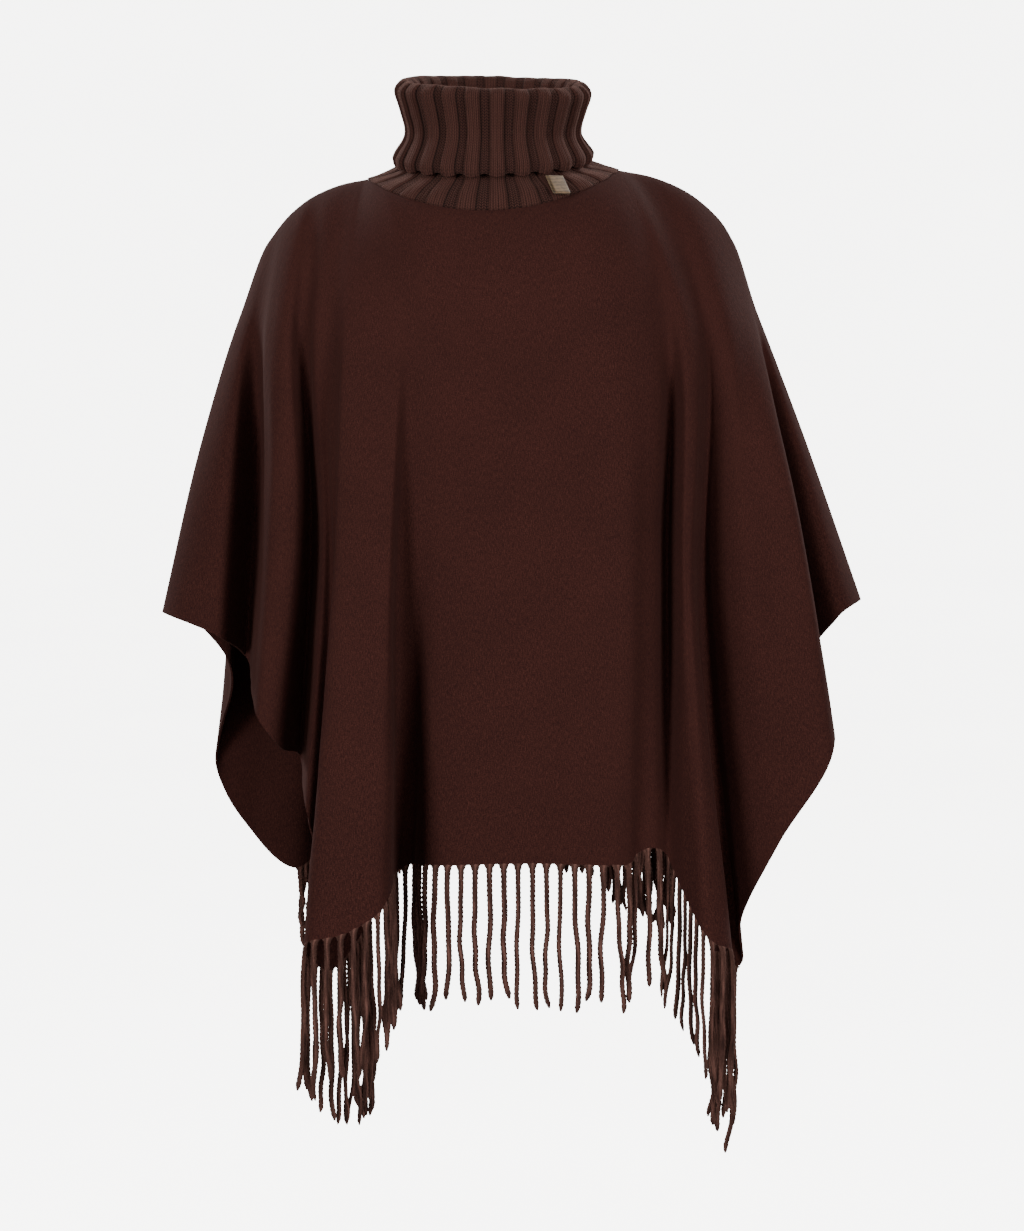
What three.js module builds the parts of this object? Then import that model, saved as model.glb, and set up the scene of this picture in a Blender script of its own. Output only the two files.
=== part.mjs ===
// A fringed wool cape with a ribbed roll neck, draped as it hangs when worn.
// Millimetres, +Z up, the front faces -Y. The origin is the middle of the neck opening at shoulder height.
import * as THREE from "three";

// Driving dimensions
const seamGap = 0.3; // between pieces that are sewn together
const collarLift = 0.5; // of the knit over the panels' neck edge, whose chords are wider
const cloth = { thickness: 1.8, chestZ: -130, midShare: 0.45 };
const neck = { halfWidth: 117, sideZ: 1, tilt: 4, power: 1.7 }; // tilt: its right side is this much higher
const shoulder = { left: { reach: 89, drop: 55 }, right: { reach: 103, drop: 61 } };
const cutClear = 1; // shortest stretch of a fringe strip
const besideFold = 0.2; // a wall column lies this share of the way from a fold line to the next
const neckStep = 0.1; // widest column at the neck, as a share of its quarter
const neckSlope = 0.6; // how steeply the cloth leaves the middle of the neck, from 0 for level to 1
const onSeam = 1e-6; // a point with less depth than this lies on the line where the panels meet
const downSteps = [4, 4, 4]; // wall rows from seam to chest, to mid height, to the edge
const fringe = {
  ...{ pitch: 13.2, root: 4, stripDepth: 5, gap: 0.9, cornerPart: 0.125, cornerSpread: 0.6 },
  ...{ strandRadius: 1.9, bends: 3, sway: 2, uneven: 12, neckShare: 0.06 },
};
const ribs = { count: 24, raised: 2.2, raisedFrom: 0.08, raisedTo: 0.6, groove: 0.84 };
const tab = {
  ...{ width: 16.5, height: 17, thickness: 1, gap: 3.2, arcSteps: 6 },
  ...{ neckAngle: 36, lean: -3, flare: 16.5, topZ: -3, clear: 4 },
};

const wool = new THREE.MeshStandardMaterial({ color: 0x42271f, roughness: 0.95, metalness: 0 });
const knit = new THREE.MeshStandardMaterial({ color: 0x3c261f, roughness: 0.92, metalness: 0 });
const yarn = new THREE.MeshStandardMaterial({ color: 0x4a2e25, roughness: 0.95, metalness: 0 });
const ribbon = new THREE.MeshStandardMaterial({ color: 0x6a5644, roughness: 0.8, metalness: 0 });

// The shoulder line: how far out it is and how far it has dropped, as shares of its reach and drop
const shoulderLine = [
  { share: 0, drop: 0 },
  { share: 0.3, drop: 0.1 },
  { share: 0.61, drop: 0.32 },
  { share: 0.86, drop: 0.66 },
  { share: 1, drop: 1 },
];

// A table's rows as objects, with its column names as their keys
function table(columns, rows) {
  return rows.map((row) => Object.fromEntries(columns.map((key, c) => [key, row[c]])));
}

// Fold lines of each panel from its left arm to its right arm, as seen by who faces that panel.
// top: where the line starts, 0 at the neck's centre, 1 at its side and 2 at the shoulder tip.
// chest, mid and end: x and y on the way down, and the height at which the cloth's edge crosses the line.
const foldColumns = ["fold", "top", "chestX", "chestY", "midX", "midY", "endX", "endY", "endZ"];
const frontFolds = table(foldColumns, [
  ["left arm ridge", -2, -239, 0, -279, 0, -316, 0, -412],
  ["left flap", -1.92, -229, -32, -246, -46, -258, -54, -430],
  ["valley one", -1.8, -218, -42, -223, -10, -236, 0, -456],
  ["ridge two", -1.66, -203, -78, -203, -99, -218, -107, -500],
  ["ridge two right", -1.54, -188, -91, -181, -103, -198, -103, -527],
  ["valley two", -1.44, -175, -82, -170, -56, -184, -20, -549],
  ["ridge three", -1.32, -163, -96, -157, -92, -174, -84, -592],
  ["valley three", -1.2, -152, -99, -150, -91, -160, -64, -640],
  ["left corner", -1.13, -145, -103, -146, -95, -130, -56, -678],
  ["tuck", -1.08, -141, -107, -141, -105, -116, -95, -688],
  ["tuck low", -1.04, -137, -111, -142, -120, -150, -124, -733],
  ["ridge four", -1, -132, -115, -146, -141, -171, -174, -699],
  ["face four", -0.86, -110, -122, -121, -152, -135, -190, -687],
  ["face four right", -0.76, -96, -126, -104, -152, -104, -190, -669],
  ["ridge four right", -0.68, -86, -129, -93, -150, -93, -174, -655],
  ["valley four", -0.6, -74, -131, -86, -119, -89, -73, -648],
  ["valley four right", -0.5, -60, -133, -70, -123, -77, -73, -643],
  ["centre left", -0.38, -44, -134, -50, -134, -60, -120, -636],
  ["centre", 0.1, 23, -138, 32, -143, 41, -146, -630],
  ["centre right", 0.5, 87, -132, 102, -147, 110, -156, -630],
  ["step ridge", 0.6, 116, -126, 125, -142, 126, -148, -630],
  ["recess left", 0.68, 134, -118, 138, -128, 134, -137, -621],
  ["recess right", 0.76, 148, -108, 150, -115, 149, -131, -618],
  ["valley seven", 0.82, 158, -96, 161, -85, 161, -122, -628],
  ["ridge seven", 0.9, 169, -102, 173, -127, 175, -141, -658],
  ["face seven", 1, 181, -94, 182, -127, 198, -166, -697],
  ["ridge eight", 1.08, 186, -87, 187, -112, 219, -150, -709],
  ["right tuck", 1.12, 189, -83, 189, -94, 205, -114, -718],
  ["right tuck low", 1.15, 191, -80, 192, -78, 208, -86, -724],
  ["right corner", 1.18, 194, -77, 197, -70, 230, -84, -738],
  ["corner rise", 1.24, 198, -77, 204, -80, 231, -98, -690],
  ["right flap", 1.44, 215, -74, 234, -108, 264, -122, -614],
  ["ridge nine", 1.76, 240, -38, 277, -98, 312, -124, -532],
  ["valley nine", 1.87, 245, -20, 268, -10, 299, -6, -455],
  ["right arm fall", 1.94, 248, -10, 286, -26, 326, -38, -412],
  ["right arm ridge", 2, 250, 0, 297, 0, 350, 0, -400],
]);
const backFolds = table(foldColumns, [
  ["left arm ridge", -2, -250, 0, -297, 0, -350, 0, -400],
  ["left flap", -1.92, -240, -34, -278, -46, -318, -56, -428],
  ["valley one", -1.8, -226, -54, -250, -48, -281, -38, -474],
  ["ridge two", -1.62, -206, -80, -233, -108, -262, -134, -530],
  ["valley two", -1.42, -184, -86, -204, -66, -226, -38, -575],
  ["ridge three", -1.25, -166, -102, -188, -121, -208, -136, -624],
  ["left corner", -1.1, -148, -107, -166, -110, -180, -112, -674],
  ["ridge four", -0.95, -128, -118, -146, -141, -156, -156, -640],
  ["valley four", -0.82, -110, -120, -124, -118, -129, -96, -606],
  ["ridge five", -0.68, -92, -126, -98, -144, -102, -166, -577],
  ["valley five", -0.54, -70, -127, -73, -116, -76, -92, -560],
  ["centre left", -0.33, -42, -130, -44, -134, -45, -139, -556],
  ["centre", 0, 0, -130, 0, -138, 2, -148, -554],
  ["centre right", 0.34, 44, -129, 46, -134, 48, -141, -556],
  ["valley six", 0.54, 72, -125, 77, -112, 80, -88, -560],
  ["ridge six", 0.7, 96, -123, 104, -143, 109, -164, -577],
  ["valley seven", 0.84, 112, -117, 126, -117, 136, -98, -608],
  ["ridge seven", 1, 130, -112, 147, -132, 162, -148, -642],
  ["right corner", 1.14, 150, -100, 170, -100, 198, -122, -680],
  ["right flap", 1.4, 178, -90, 210, -102, 244, -122, -640],
  ["ridge eight", 1.7, 208, -66, 242, -92, 276, -112, -577],
  ["valley eight", 1.85, 224, -40, 248, -46, 256, -44, -468],
  ["right arm fall", 1.93, 232, -26, 264, -36, 291, -40, -423],
  ["right arm ridge", 2, 239, 0, 279, 0, 316, 0, -412],
]);

// Each panel: its folds, its half of the neck opening, and its strands, usual and at each corner
const panels = {
  front: { folds: frontFolds, neckDepth: 98, neckZ: -35, turned: false, strand: 132, cornerStrands: [198, 168] },
  back: { folds: backFolds, neckDepth: 88, neckZ: 12, turned: true, strand: 117, cornerStrands: [70, 70] },
};

// Rings of the folded rib knit, round its wall once: half width, depth to front and back, and three heights.
// power: how soon the height leaves the side's. tilt: how much higher it is at its right.
// ribbed: the share of the ribs' height that stands proud there.
const ringColumns = ["half", "front", "back", "frontZ", "sideZ", "backZ", "power", "tilt", "ribbed"];
const collarRings = table(ringColumns, [
  [117, 98, 88, -35, 1, 12, 1.7, 4, 0.5], // seam
  [106, 91.5, 85, -21, 4, 20, 1.4, 4, 1], // stand
  [83, 77.5, 75, -2, 12, 30, 0.9, 2, 1],
  [72, 68, 68, 33, 39, 52, 0.9, 0, 0],
  [80, 73, 73, 70, 79, 86, 0.8, -2, 0], // fold
  [75.5, 70.5, 71, 32, 38, 54, 0.9, 0, 0],
  [86, 83, 81, 0, 17, 32, 0.9, 2, 0],
  [89, 86.5, 84.5, -4, 12.5, 28, 0.9, 2, 0.5], // edge
  [90.5, 87.5, 85.5, 3, 19, 35, 0.9, 2, 1],
  [79.5, 75, 75, 33, 38, 54, 0.9, 0, 1], // waist
  [84, 78, 78, 54, 60, 74, 0.8, -1, 1],
  [88, 81, 81, 70, 78, 86, 0.8, -2, 1],
  [81, 75, 75, 78.5, 89, 95, 0.8, -2, 0.4], // rim
  [75, 68.5, 68.5, 74, 84, 91, 0.8, -2, 0],
  [69, 64.5, 64.5, 32, 38, 52, 0.9, 0, 0],
  [80.5, 74, 71, -5, 8, 26, 1.1, 2, 0],
  [113.8, 94.6, 84.6, -36, -0.2, 11.4, 1.7, 4, 0],
]);

const mix = (a, b, share) => a + (b - a) * share;

// A point of an oval ring, its angle measured from the front
function ovalPoint(angle, { half, front, back, frontZ, sideZ, backZ, power, tilt }) {
  const cosine = Math.cos(angle);
  const sine = Math.sin(angle);
  const depth = cosine > 0 ? front : back;
  const endZ = cosine > 0 ? frontZ : backZ;
  const height = mix(sideZ, endZ, Math.abs(cosine) ** power) + tilt * sine;
  return new THREE.Vector3(half * sine, -depth * cosine, height);
}

// Where a fold line starts: on the neck edge, or past it on the shoulder line
function topPoint(top, panel) {
  const side = Math.sign(top);
  const tilt = panel.turned ? -neck.tilt : neck.tilt;
  if (Math.abs(top) <= 1) {
    const ring = { ...neck, half: neck.halfWidth, front: panel.neckDepth, frontZ: panel.neckZ, tilt };
    return ovalPoint((top * Math.PI) / 2, { ...ring, back: 0, backZ: neck.sideZ });
  }
  const { reach, drop } = (panel.turned ? side > 0 : side < 0) ? shoulder.left : shoulder.right;
  const line = new THREE.CatmullRomCurve3(
    shoulderLine.map((point) => new THREE.Vector3(point.share * reach, 0, -point.drop * drop)),
  );
  const point = line.getPoint(Math.abs(top) - 1);
  return new THREE.Vector3(side * (neck.halfWidth + point.x), 0, neck.sideZ + tilt * side + point.z);
}

// A curve across the folds at one level. Past each arm it is mirrored, so it rounds the ridge there.
function acrossCurve(points) {
  const mirrored = (point) => new THREE.Vector3(point.x, -point.y, point.z);
  const all = [mirrored(points[1]), ...points, mirrored(points[points.length - 2])];
  const curve = new THREE.CatmullRomCurve3(all, false, "centripetal");
  return (place) => curve.getPoint((place + 1) / (all.length - 1));
}

// Where the wall's columns lie: their place among the folds, and their start along the top edge
function columnPlaces(folds) {
  const isSharp = (f) => f === 0 || f === folds.length - 1 || folds[f].fold.endsWith("corner");
  const marks = folds.flatMap((_, f) => (isSharp(f) ? [f] : [f - besideFold, f + besideFold]));
  const alongAt = (place) => {
    const f = Math.min(Math.floor(place), folds.length - 2);
    return mix(folds[f].top, folds[f + 1].top, place - f);
  };
  const places = [marks[0]];
  marks.slice(1).forEach((mark, m) => {
    const [from, to] = [alongAt(marks[m]), alongAt(mark)];
    const onNeck = Math.abs(from + to) < 2;
    const steps = onNeck ? Math.ceil((to - from) / neckStep) : 1;
    for (let step = 1; step <= steps; step++) places.push(mix(marks[m], mark, step / steps));
  });
  return places.map((place) => ({ place, along: alongAt(place) }));
}

// Rows of points down each column of a panel, on its outer side
function drape(panel) {
  const { folds } = panel;
  const midZ = (fold) => mix(cloth.chestZ, fold.endZ, cloth.midShare);
  const chest = acrossCurve(folds.map((f) => new THREE.Vector3(f.chestX, f.chestY, cloth.chestZ)));
  const mid = acrossCurve(folds.map((f) => new THREE.Vector3(f.midX, f.midY, midZ(f))));
  const end = acrossCurve(folds.map((f) => new THREE.Vector3(f.endX, f.endY, f.endZ)));
  const columns = [];
  for (const { place, along } of columnPlaces(folds)) {
    const top = topPoint(along, panel);
    const knots = [top, chest(place), mid(place), end(place)];
    // The line leaves the shoulder level, and leaves the middle of the neck sloping down
    const slope = (1 - Math.min(1, Math.abs(along)) ** 2) * neckSlope;
    const level = new THREE.Vector3(top.x * 2 - knots[1].x, -knots[1].y, knots[1].z);
    const straight = top.clone().multiplyScalar(2).sub(knots[1]);
    const lead = level.lerp(straight, slope);
    const line = new THREE.CatmullRomCurve3([lead, ...knots], false, "centripetal");
    const column = [];
    downSteps.forEach((steps, span) => {
      for (let row = 0; row < steps; row++) column.push(line.getPoint((span + 1 + row / steps) / 4));
    });
    column.push(knots[3]);
    columns.push(column);
  }
  return columns;
}

// The outward direction at each point of the columns
function outward(columns) {
  const lastColumn = columns.length - 1;
  const lastRow = columns[0].length - 1;
  return columns.map((column, c) =>
    column.map((point, r) => {
      const right = columns[Math.min(c + 1, lastColumn)][r].clone().sub(columns[Math.max(c - 1, 0)][r]);
      const down = column[Math.min(r + 1, lastRow)].clone().sub(column[Math.max(r - 1, 0)]);
      const normal = down.cross(right);
      if (Math.abs(point.y) < onSeam) normal.y = 0; // both walls end in one plane at shoulder and arm
      return normal.normalize();
    }),
  );
}

// A closed body between two equal grids of points, the first one outside
function wallGeometry(outer, inner) {
  const rows = outer[0].length;
  const positions = [];
  const faces = [];
  for (const grid of [outer, inner]) {
    for (const column of grid) {
      for (const point of column) positions.push(point.x, point.y, point.z);
    }
  }
  const offset = outer.length * rows;
  const index = (c, r, side) => side * offset + c * rows + r;
  const quad = (a, b, c, d) => faces.push(a, b, c, a, c, d);
  const lastColumn = outer.length - 1;
  const lastRow = rows - 1;
  for (let c = 0; c < lastColumn; c++) {
    for (let r = 0; r < lastRow; r++) {
      quad(index(c, r, 0), index(c, r + 1, 0), index(c + 1, r + 1, 0), index(c + 1, r, 0));
      quad(index(c, r, 1), index(c + 1, r, 1), index(c + 1, r + 1, 1), index(c, r + 1, 1));
    }
    quad(index(c, 0, 0), index(c + 1, 0, 0), index(c + 1, 0, 1), index(c, 0, 1));
    quad(index(c, lastRow, 0), index(c, lastRow, 1), index(c + 1, lastRow, 1), index(c + 1, lastRow, 0));
  }
  for (let r = 0; r < lastRow; r++) {
    quad(index(0, r, 0), index(0, r, 1), index(0, r + 1, 1), index(0, r + 1, 0));
    const [last, next] = [index(lastColumn, r, 0), index(lastColumn, r + 1, 0)];
    quad(last, next, next + offset, last + offset);
  }
  return geometryFrom(positions, faces);
}

function geometryFrom(positions, faces) {
  const geometry = new THREE.BufferGeometry();
  geometry.setAttribute("position", new THREE.Float32BufferAttribute(positions, 3));
  geometry.setIndex(faces);
  geometry.computeVertexNormals();
  return geometry;
}

// A panel's two grids, turned to its side of the body and moved off the seams by half the gap
function panelGrids(panel) {
  const outer = drape(panel);
  const normals = outward(outer);
  const inner = outer.map((column, c) =>
    column.map((point, r) => point.clone().addScaledVector(normals[c][r], -cloth.thickness)),
  );
  for (const grid of [outer, inner]) {
    grid.forEach((column) => {
      column.forEach((point) => {
        point.y -= seamGap / 2;
        if (panel.turned) point.set(-point.x, -point.y, point.z);
      });
    });
  }
  return { outer, inner };
}

// The wool panel's mesh
function clothPanel(name, grids) {
  const mesh = new THREE.Mesh(wallGeometry(grids.outer, grids.inner), wool);
  mesh.name = name;
  return mesh;
}

// Round the collar: three points a rib, two on its raised band and one in the groove after it
function collarAngles() {
  const angleAt = (rib, share) => ((rib + share) / ribs.count) * 2 * Math.PI;
  const angles = [];
  for (let rib = 0; rib < ribs.count; rib++) {
    angles.push({ angle: angleAt(rib, ribs.raisedFrom), raised: ribs.raised });
    angles.push({ angle: angleAt(rib, ribs.raisedTo), raised: ribs.raised });
    angles.push({ angle: angleAt(rib, ribs.groove), raised: 0 });
  }
  return angles;
}

// The roll neck: one rib-knit wall that rises from the seam and is folded outwards over itself
function collar() {
  const angles = collarAngles();
  const positions = [];
  const faces = [];
  for (const ring of collarRings) {
    for (const { angle, raised } of angles) {
      const proud = raised * ring.ribbed;
      const point = ovalPoint(angle, ring);
      const out = new THREE.Vector3(point.x / ring.half ** 2, point.y / ring.front ** 2, 0).normalize();
      point.addScaledVector(out, proud);
      point.z += collarLift;
      positions.push(point.x, point.y, point.z);
    }
  }
  const around = angles.length;
  collarRings.forEach((_, level) => {
    const next = (level + 1) % collarRings.length;
    for (let a = 0; a < around; a++) {
      const b = (a + 1) % around;
      const [p, q] = [level * around, next * around];
      faces.push(p + a, p + b, q + b, p + a, q + b, q + a);
    }
  });
  const mesh = new THREE.Mesh(geometryFrom(positions, faces), knit);
  mesh.name = "collar";
  return mesh;
}

// A repeatable number from 0 to 1 for each pair of whole numbers
const scatterBy = { first: 12.9898, second: 78.233, spread: 43758.5453 };
function scatter(first, second) {
  const value = Math.sin(first * scatterBy.first + second * scatterBy.second) * scatterBy.spread;
  return value - Math.floor(value);
}

// The hem between the panel's corners, as stations with their distance along it
function hemStations(panel, grids) {
  const places = columnPlaces(panel.folds).map(({ place }) => place);
  const corner = (name) => places.indexOf(panel.folds.findIndex(({ fold }) => fold === name));
  const stations = [];
  let distance = 0;
  for (let c = corner("left corner"); c <= corner("right corner"); c++) {
    const [outer, inner] = [grids.outer[c].at(-1), grids.inner[c].at(-1)];
    const down = outer.clone().sub(grids.outer[c].at(-2)).normalize();
    if (stations.length) distance += outer.distanceTo(stations.at(-1).outer);
    stations.push({ distance, outer, inner, down });
  }
  return stations;
}

// The strip's four edge points at one distance along the hem: at its top outside and inside, then at its
// bottom inside and outside
function stripSection(stations, distance) {
  const after = Math.max(1, stations.findIndex((station) => station.distance >= distance));
  const [a, b] = [stations[after - 1], stations[after]];
  const share = (distance - a.distance) / (b.distance - a.distance);
  const [outer, inner, down] = ["outer", "inner", "down"].map((key) => a[key].clone().lerp(b[key], share));
  const below = (point, depth) => point.clone().addScaledVector(down, depth);
  const { gap, stripDepth } = fringe;
  return [below(outer, gap), below(inner, gap), below(inner, stripDepth), below(outer, stripDepth)];
}

// A row of yarn strands that hang from a narrow strip along the panel's hem
function fringeRow(name, panel, grids) {
  const stations = hemStations(panel, grids);
  const length = stations.at(-1).distance;
  const count = Math.floor((length - fringe.root - 1) / fringe.pitch) + 1;
  const first = (length - (count - 1) * fringe.pitch) / 2;
  const positions = [];
  const faces = [];
  const add = (points) => points.map((point) => positions.push(point.x, point.y, point.z) / 3 - 1);
  const quad = (a, b, c, d) => faces.push(a, b, c, a, c, d);
  const join = (a, b, hasBottom) => {
    quad(a[0], a[3], b[3], b[0]);
    quad(a[1], b[1], b[2], a[2]);
    quad(a[0], b[0], b[1], a[1]);
    if (hasBottom) quad(a[3], a[2], b[2], b[3]);
  };
  const halfRoot = fringe.root / 2;
  let before = null;
  let reached = 0;
  for (let strand = 0; strand < count; strand++) {
    let middle = first + strand * fringe.pitch;
    // A root keeps off the places where the hem turns, and the strip turns with the hem
    const turn = stations.find(({ distance }) => Math.abs(distance - middle) < halfRoot + cutClear);
    if (turn) middle = turn.distance + (middle < turn.distance ? -1 : 1) * (halfRoot + cutClear);
    const left = add(stripSection(stations, middle - halfRoot));
    const right = add(stripSection(stations, middle + halfRoot));
    if (before) {
      const [from, to] = [reached + cutClear / 2, middle - halfRoot - cutClear / 2];
      const between = stations.filter(({ distance }) => distance > from && distance < to);
      const turns = between.map(({ distance }) => add(stripSection(stations, distance)));
      for (const section of [...turns, left]) {
        join(before, section, true);
        before = section;
      }
    } else quad(left[0], left[1], left[2], left[3]);
    join(left, right, false);
    before = right;
    reached = middle + halfRoot;
    addStrand(strand, count, panel, [left[3], right[3], right[2], left[2]], positions, add, faces);
  }
  quad(before[3], before[2], before[1], before[0]);
  const mesh = new THREE.Mesh(geometryFrom(positions, faces), yarn);
  mesh.name = name;
  return mesh;
}

// One three-sided strand below the strip's four root corners, bent a little on its way down
function addStrand(strand, count, panel, root, positions, add, faces) {
  const corners = root.map((index) => new THREE.Vector3().fromArray(positions, index * 3));
  const centre = corners.reduce((sum, corner) => sum.add(corner), new THREE.Vector3()).multiplyScalar(0.25);
  const leftward = Math.atan2(corners[0].y - corners[1].y, corners[0].x - corners[1].x);
  const fromCorner = Math.min(strand, count - 1 - strand) / count;
  const corner = Math.max(0, 1 - fromCorner / fringe.cornerPart) ** fringe.cornerSpread;
  const usual = mix(panel.strand, panel.cornerStrands[strand < count / 2 ? 0 : 1], corner);
  const length = usual + (scatter(strand, 0) - 0.5) * fringe.uneven;
  const rings = [];
  for (let bend = 0; bend <= fringe.bends; bend++) {
    const share = mix(fringe.neckShare, 1, bend / fringe.bends);
    const side = bend ? (scatter(strand, bend) * 2 - 1) * fringe.sway : 0;
    const forward = bend ? (scatter(strand, -bend) * 2 - 1) * fringe.sway : 0;
    const ring = [0, 1, 2].map((third) => {
      const angle = leftward + (third * 2 * Math.PI) / 3;
      const round = new THREE.Vector3(Math.cos(angle), Math.sin(angle), 0);
      const offset = new THREE.Vector3(side, forward, -share * length);
      return centre.clone().add(offset).addScaledVector(round, fringe.strandRadius);
    });
    rings.push(add(ring));
  }
  const [a, b, c, d] = root;
  const [left, near, far] = rings[0];
  faces.push(a, left, near, a, near, b, b, near, far, b, far, c, c, far, left, c, left, d, d, left, a);
  for (let bend = 0; bend < fringe.bends; bend++) {
    for (let side = 0; side < 3; side++) {
      const next = (side + 1) % 3;
      const [upper, lower] = [rings[bend], rings[bend + 1]];
      faces.push(upper[side], lower[side], lower[next], upper[side], lower[next], upper[next]);
    }
  }
  const tip = rings.at(-1);
  faces.push(tip[0], tip[2], tip[1]);
}

// A short ribbon, folded once at its foot, that hangs over the stand from under the turnover's edge
const turnoverEdge = 7; // its ring in the collar's table
function collarTab() {
  const { width, height, thickness, gap, arcSteps, lean, flare, topZ, clear } = tab;
  const outside = gap / 2 + thickness;
  const shape = new THREE.Shape();
  shape.moveTo(0, 0);
  shape.lineTo(0, outside - height);
  shape.absarc(outside, outside - height, outside, Math.PI, 2 * Math.PI, false);
  shape.lineTo(2 * outside, 0);
  shape.lineTo(2 * outside - thickness, 0);
  shape.lineTo(2 * outside - thickness, outside - height);
  shape.absarc(outside, outside - height, gap / 2, 2 * Math.PI, Math.PI, true);
  shape.lineTo(thickness, 0);
  shape.closePath();
  const extent = { depth: width, bevelEnabled: false, curveSegments: arcSteps };
  const geometry = new THREE.ExtrudeGeometry(shape, extent);
  geometry.translate(0, 0, -width / 2);
  const angle = (tab.neckAngle * Math.PI) / 180;
  const edge = ovalPoint(angle, collarRings[turnoverEdge]);
  const out = new THREE.Vector3(Math.sin(angle), -Math.cos(angle), 0);
  const along = new THREE.Vector3(Math.cos(angle), Math.sin(angle), 0);
  const up = new THREE.Vector3(0, 0, 1);
  up.addScaledVector(along, -lean / height).addScaledVector(out, -flare / height);
  const start = edge.addScaledVector(out, clear).setZ(topZ);
  geometry.applyMatrix4(new THREE.Matrix4().makeBasis(out, up, along.negate()).setPosition(start));
  const mesh = new THREE.Mesh(geometry, ribbon);
  mesh.name = "tab";
  return mesh;
}

const cape = new THREE.Group();
for (const [name, panel] of Object.entries(panels)) {
  const grids = panelGrids(panel);
  cape.add(clothPanel(name, grids));
  cape.add(fringeRow("fringe_" + name, panel, grids));
}
cape.add(collar());
cape.add(collarTab());

export default cape;
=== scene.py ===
# A fringed wool cape with a ribbed roll neck, hanging as it does when worn
# Tables are in millimetres, and everything that Blender gets is in metres
import math
import random

import bpy
import numpy as np
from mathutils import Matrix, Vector, noise


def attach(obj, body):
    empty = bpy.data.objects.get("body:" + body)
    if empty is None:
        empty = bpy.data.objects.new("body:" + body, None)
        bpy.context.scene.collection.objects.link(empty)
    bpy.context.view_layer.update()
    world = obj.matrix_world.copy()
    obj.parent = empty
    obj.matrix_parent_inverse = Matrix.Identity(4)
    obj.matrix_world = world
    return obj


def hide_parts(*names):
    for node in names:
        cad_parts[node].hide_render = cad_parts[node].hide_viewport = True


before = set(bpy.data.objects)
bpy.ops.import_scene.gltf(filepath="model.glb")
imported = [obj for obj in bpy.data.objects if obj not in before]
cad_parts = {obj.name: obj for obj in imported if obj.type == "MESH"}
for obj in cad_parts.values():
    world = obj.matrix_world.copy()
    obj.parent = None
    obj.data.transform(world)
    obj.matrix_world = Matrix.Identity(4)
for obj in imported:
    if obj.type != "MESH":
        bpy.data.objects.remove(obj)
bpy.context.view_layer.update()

mm = 0.001


# Colours are given as on screen, and the shader wants them linear
def hexColour(code):
    channels = [int(code[i:i + 2], 16) / 255 for i in (1, 3, 5)]
    return tuple(c / 12.92 if c <= 0.04045 else ((c + 0.055) / 1.055) ** 2.4 for c in channels) + (1.0,)


# One node with its settings, and its links as {input: (node, output)}
def addNode(tree, kind, settings=None, links=None):
    node = tree.nodes.new("ShaderNode" + kind)
    for key, value in (settings or {}).items():
        if isinstance(key, int) or key in node.inputs:
            node.inputs[key].default_value = value
        else:
            setattr(node, key, value)
    for key, (source, output) in (links or {}).items():
        tree.links.new(source.outputs[output], node.inputs[key])
    return node


def emptyMaterial(name):
    material = bpy.data.materials.new(name)
    material.use_nodes = True
    material.node_tree.nodes.clear()
    return material, material.node_tree


def setRamp(node, stops):
    ramp = node.color_ramp
    while len(ramp.elements) < len(stops):
        ramp.elements.new(0.5)
    for element, (place, colour) in zip(ramp.elements, stops):
        element.position = place
        element.color = hexColour(colour)


def selectOnly(piece):
    bpy.ops.object.select_all(action="DESELECT")
    piece.select_set(True)
    bpy.context.view_layer.objects.active = piece


# Camera, at the photograph's angle: level with the chest and tipped a little down
camera = {
    "distance": 3.1, "height": -0.12, "side": 0.0175, "tipDown": 5.45,
    "focalPixels": 3267, "imageHeight": 1231, "sensor": 36,
}
lens = camera["focalPixels"] * camera["sensor"] / camera["imageHeight"]
bpy.ops.object.camera_add(
    location=(camera["side"], -camera["distance"], camera["height"]),
    rotation=(math.radians(90 - camera["tipDown"]), 0, 0),
)
bpy.context.object.data.lens = lens
bpy.context.scene.camera = bpy.context.object
print("camera ready")


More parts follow.
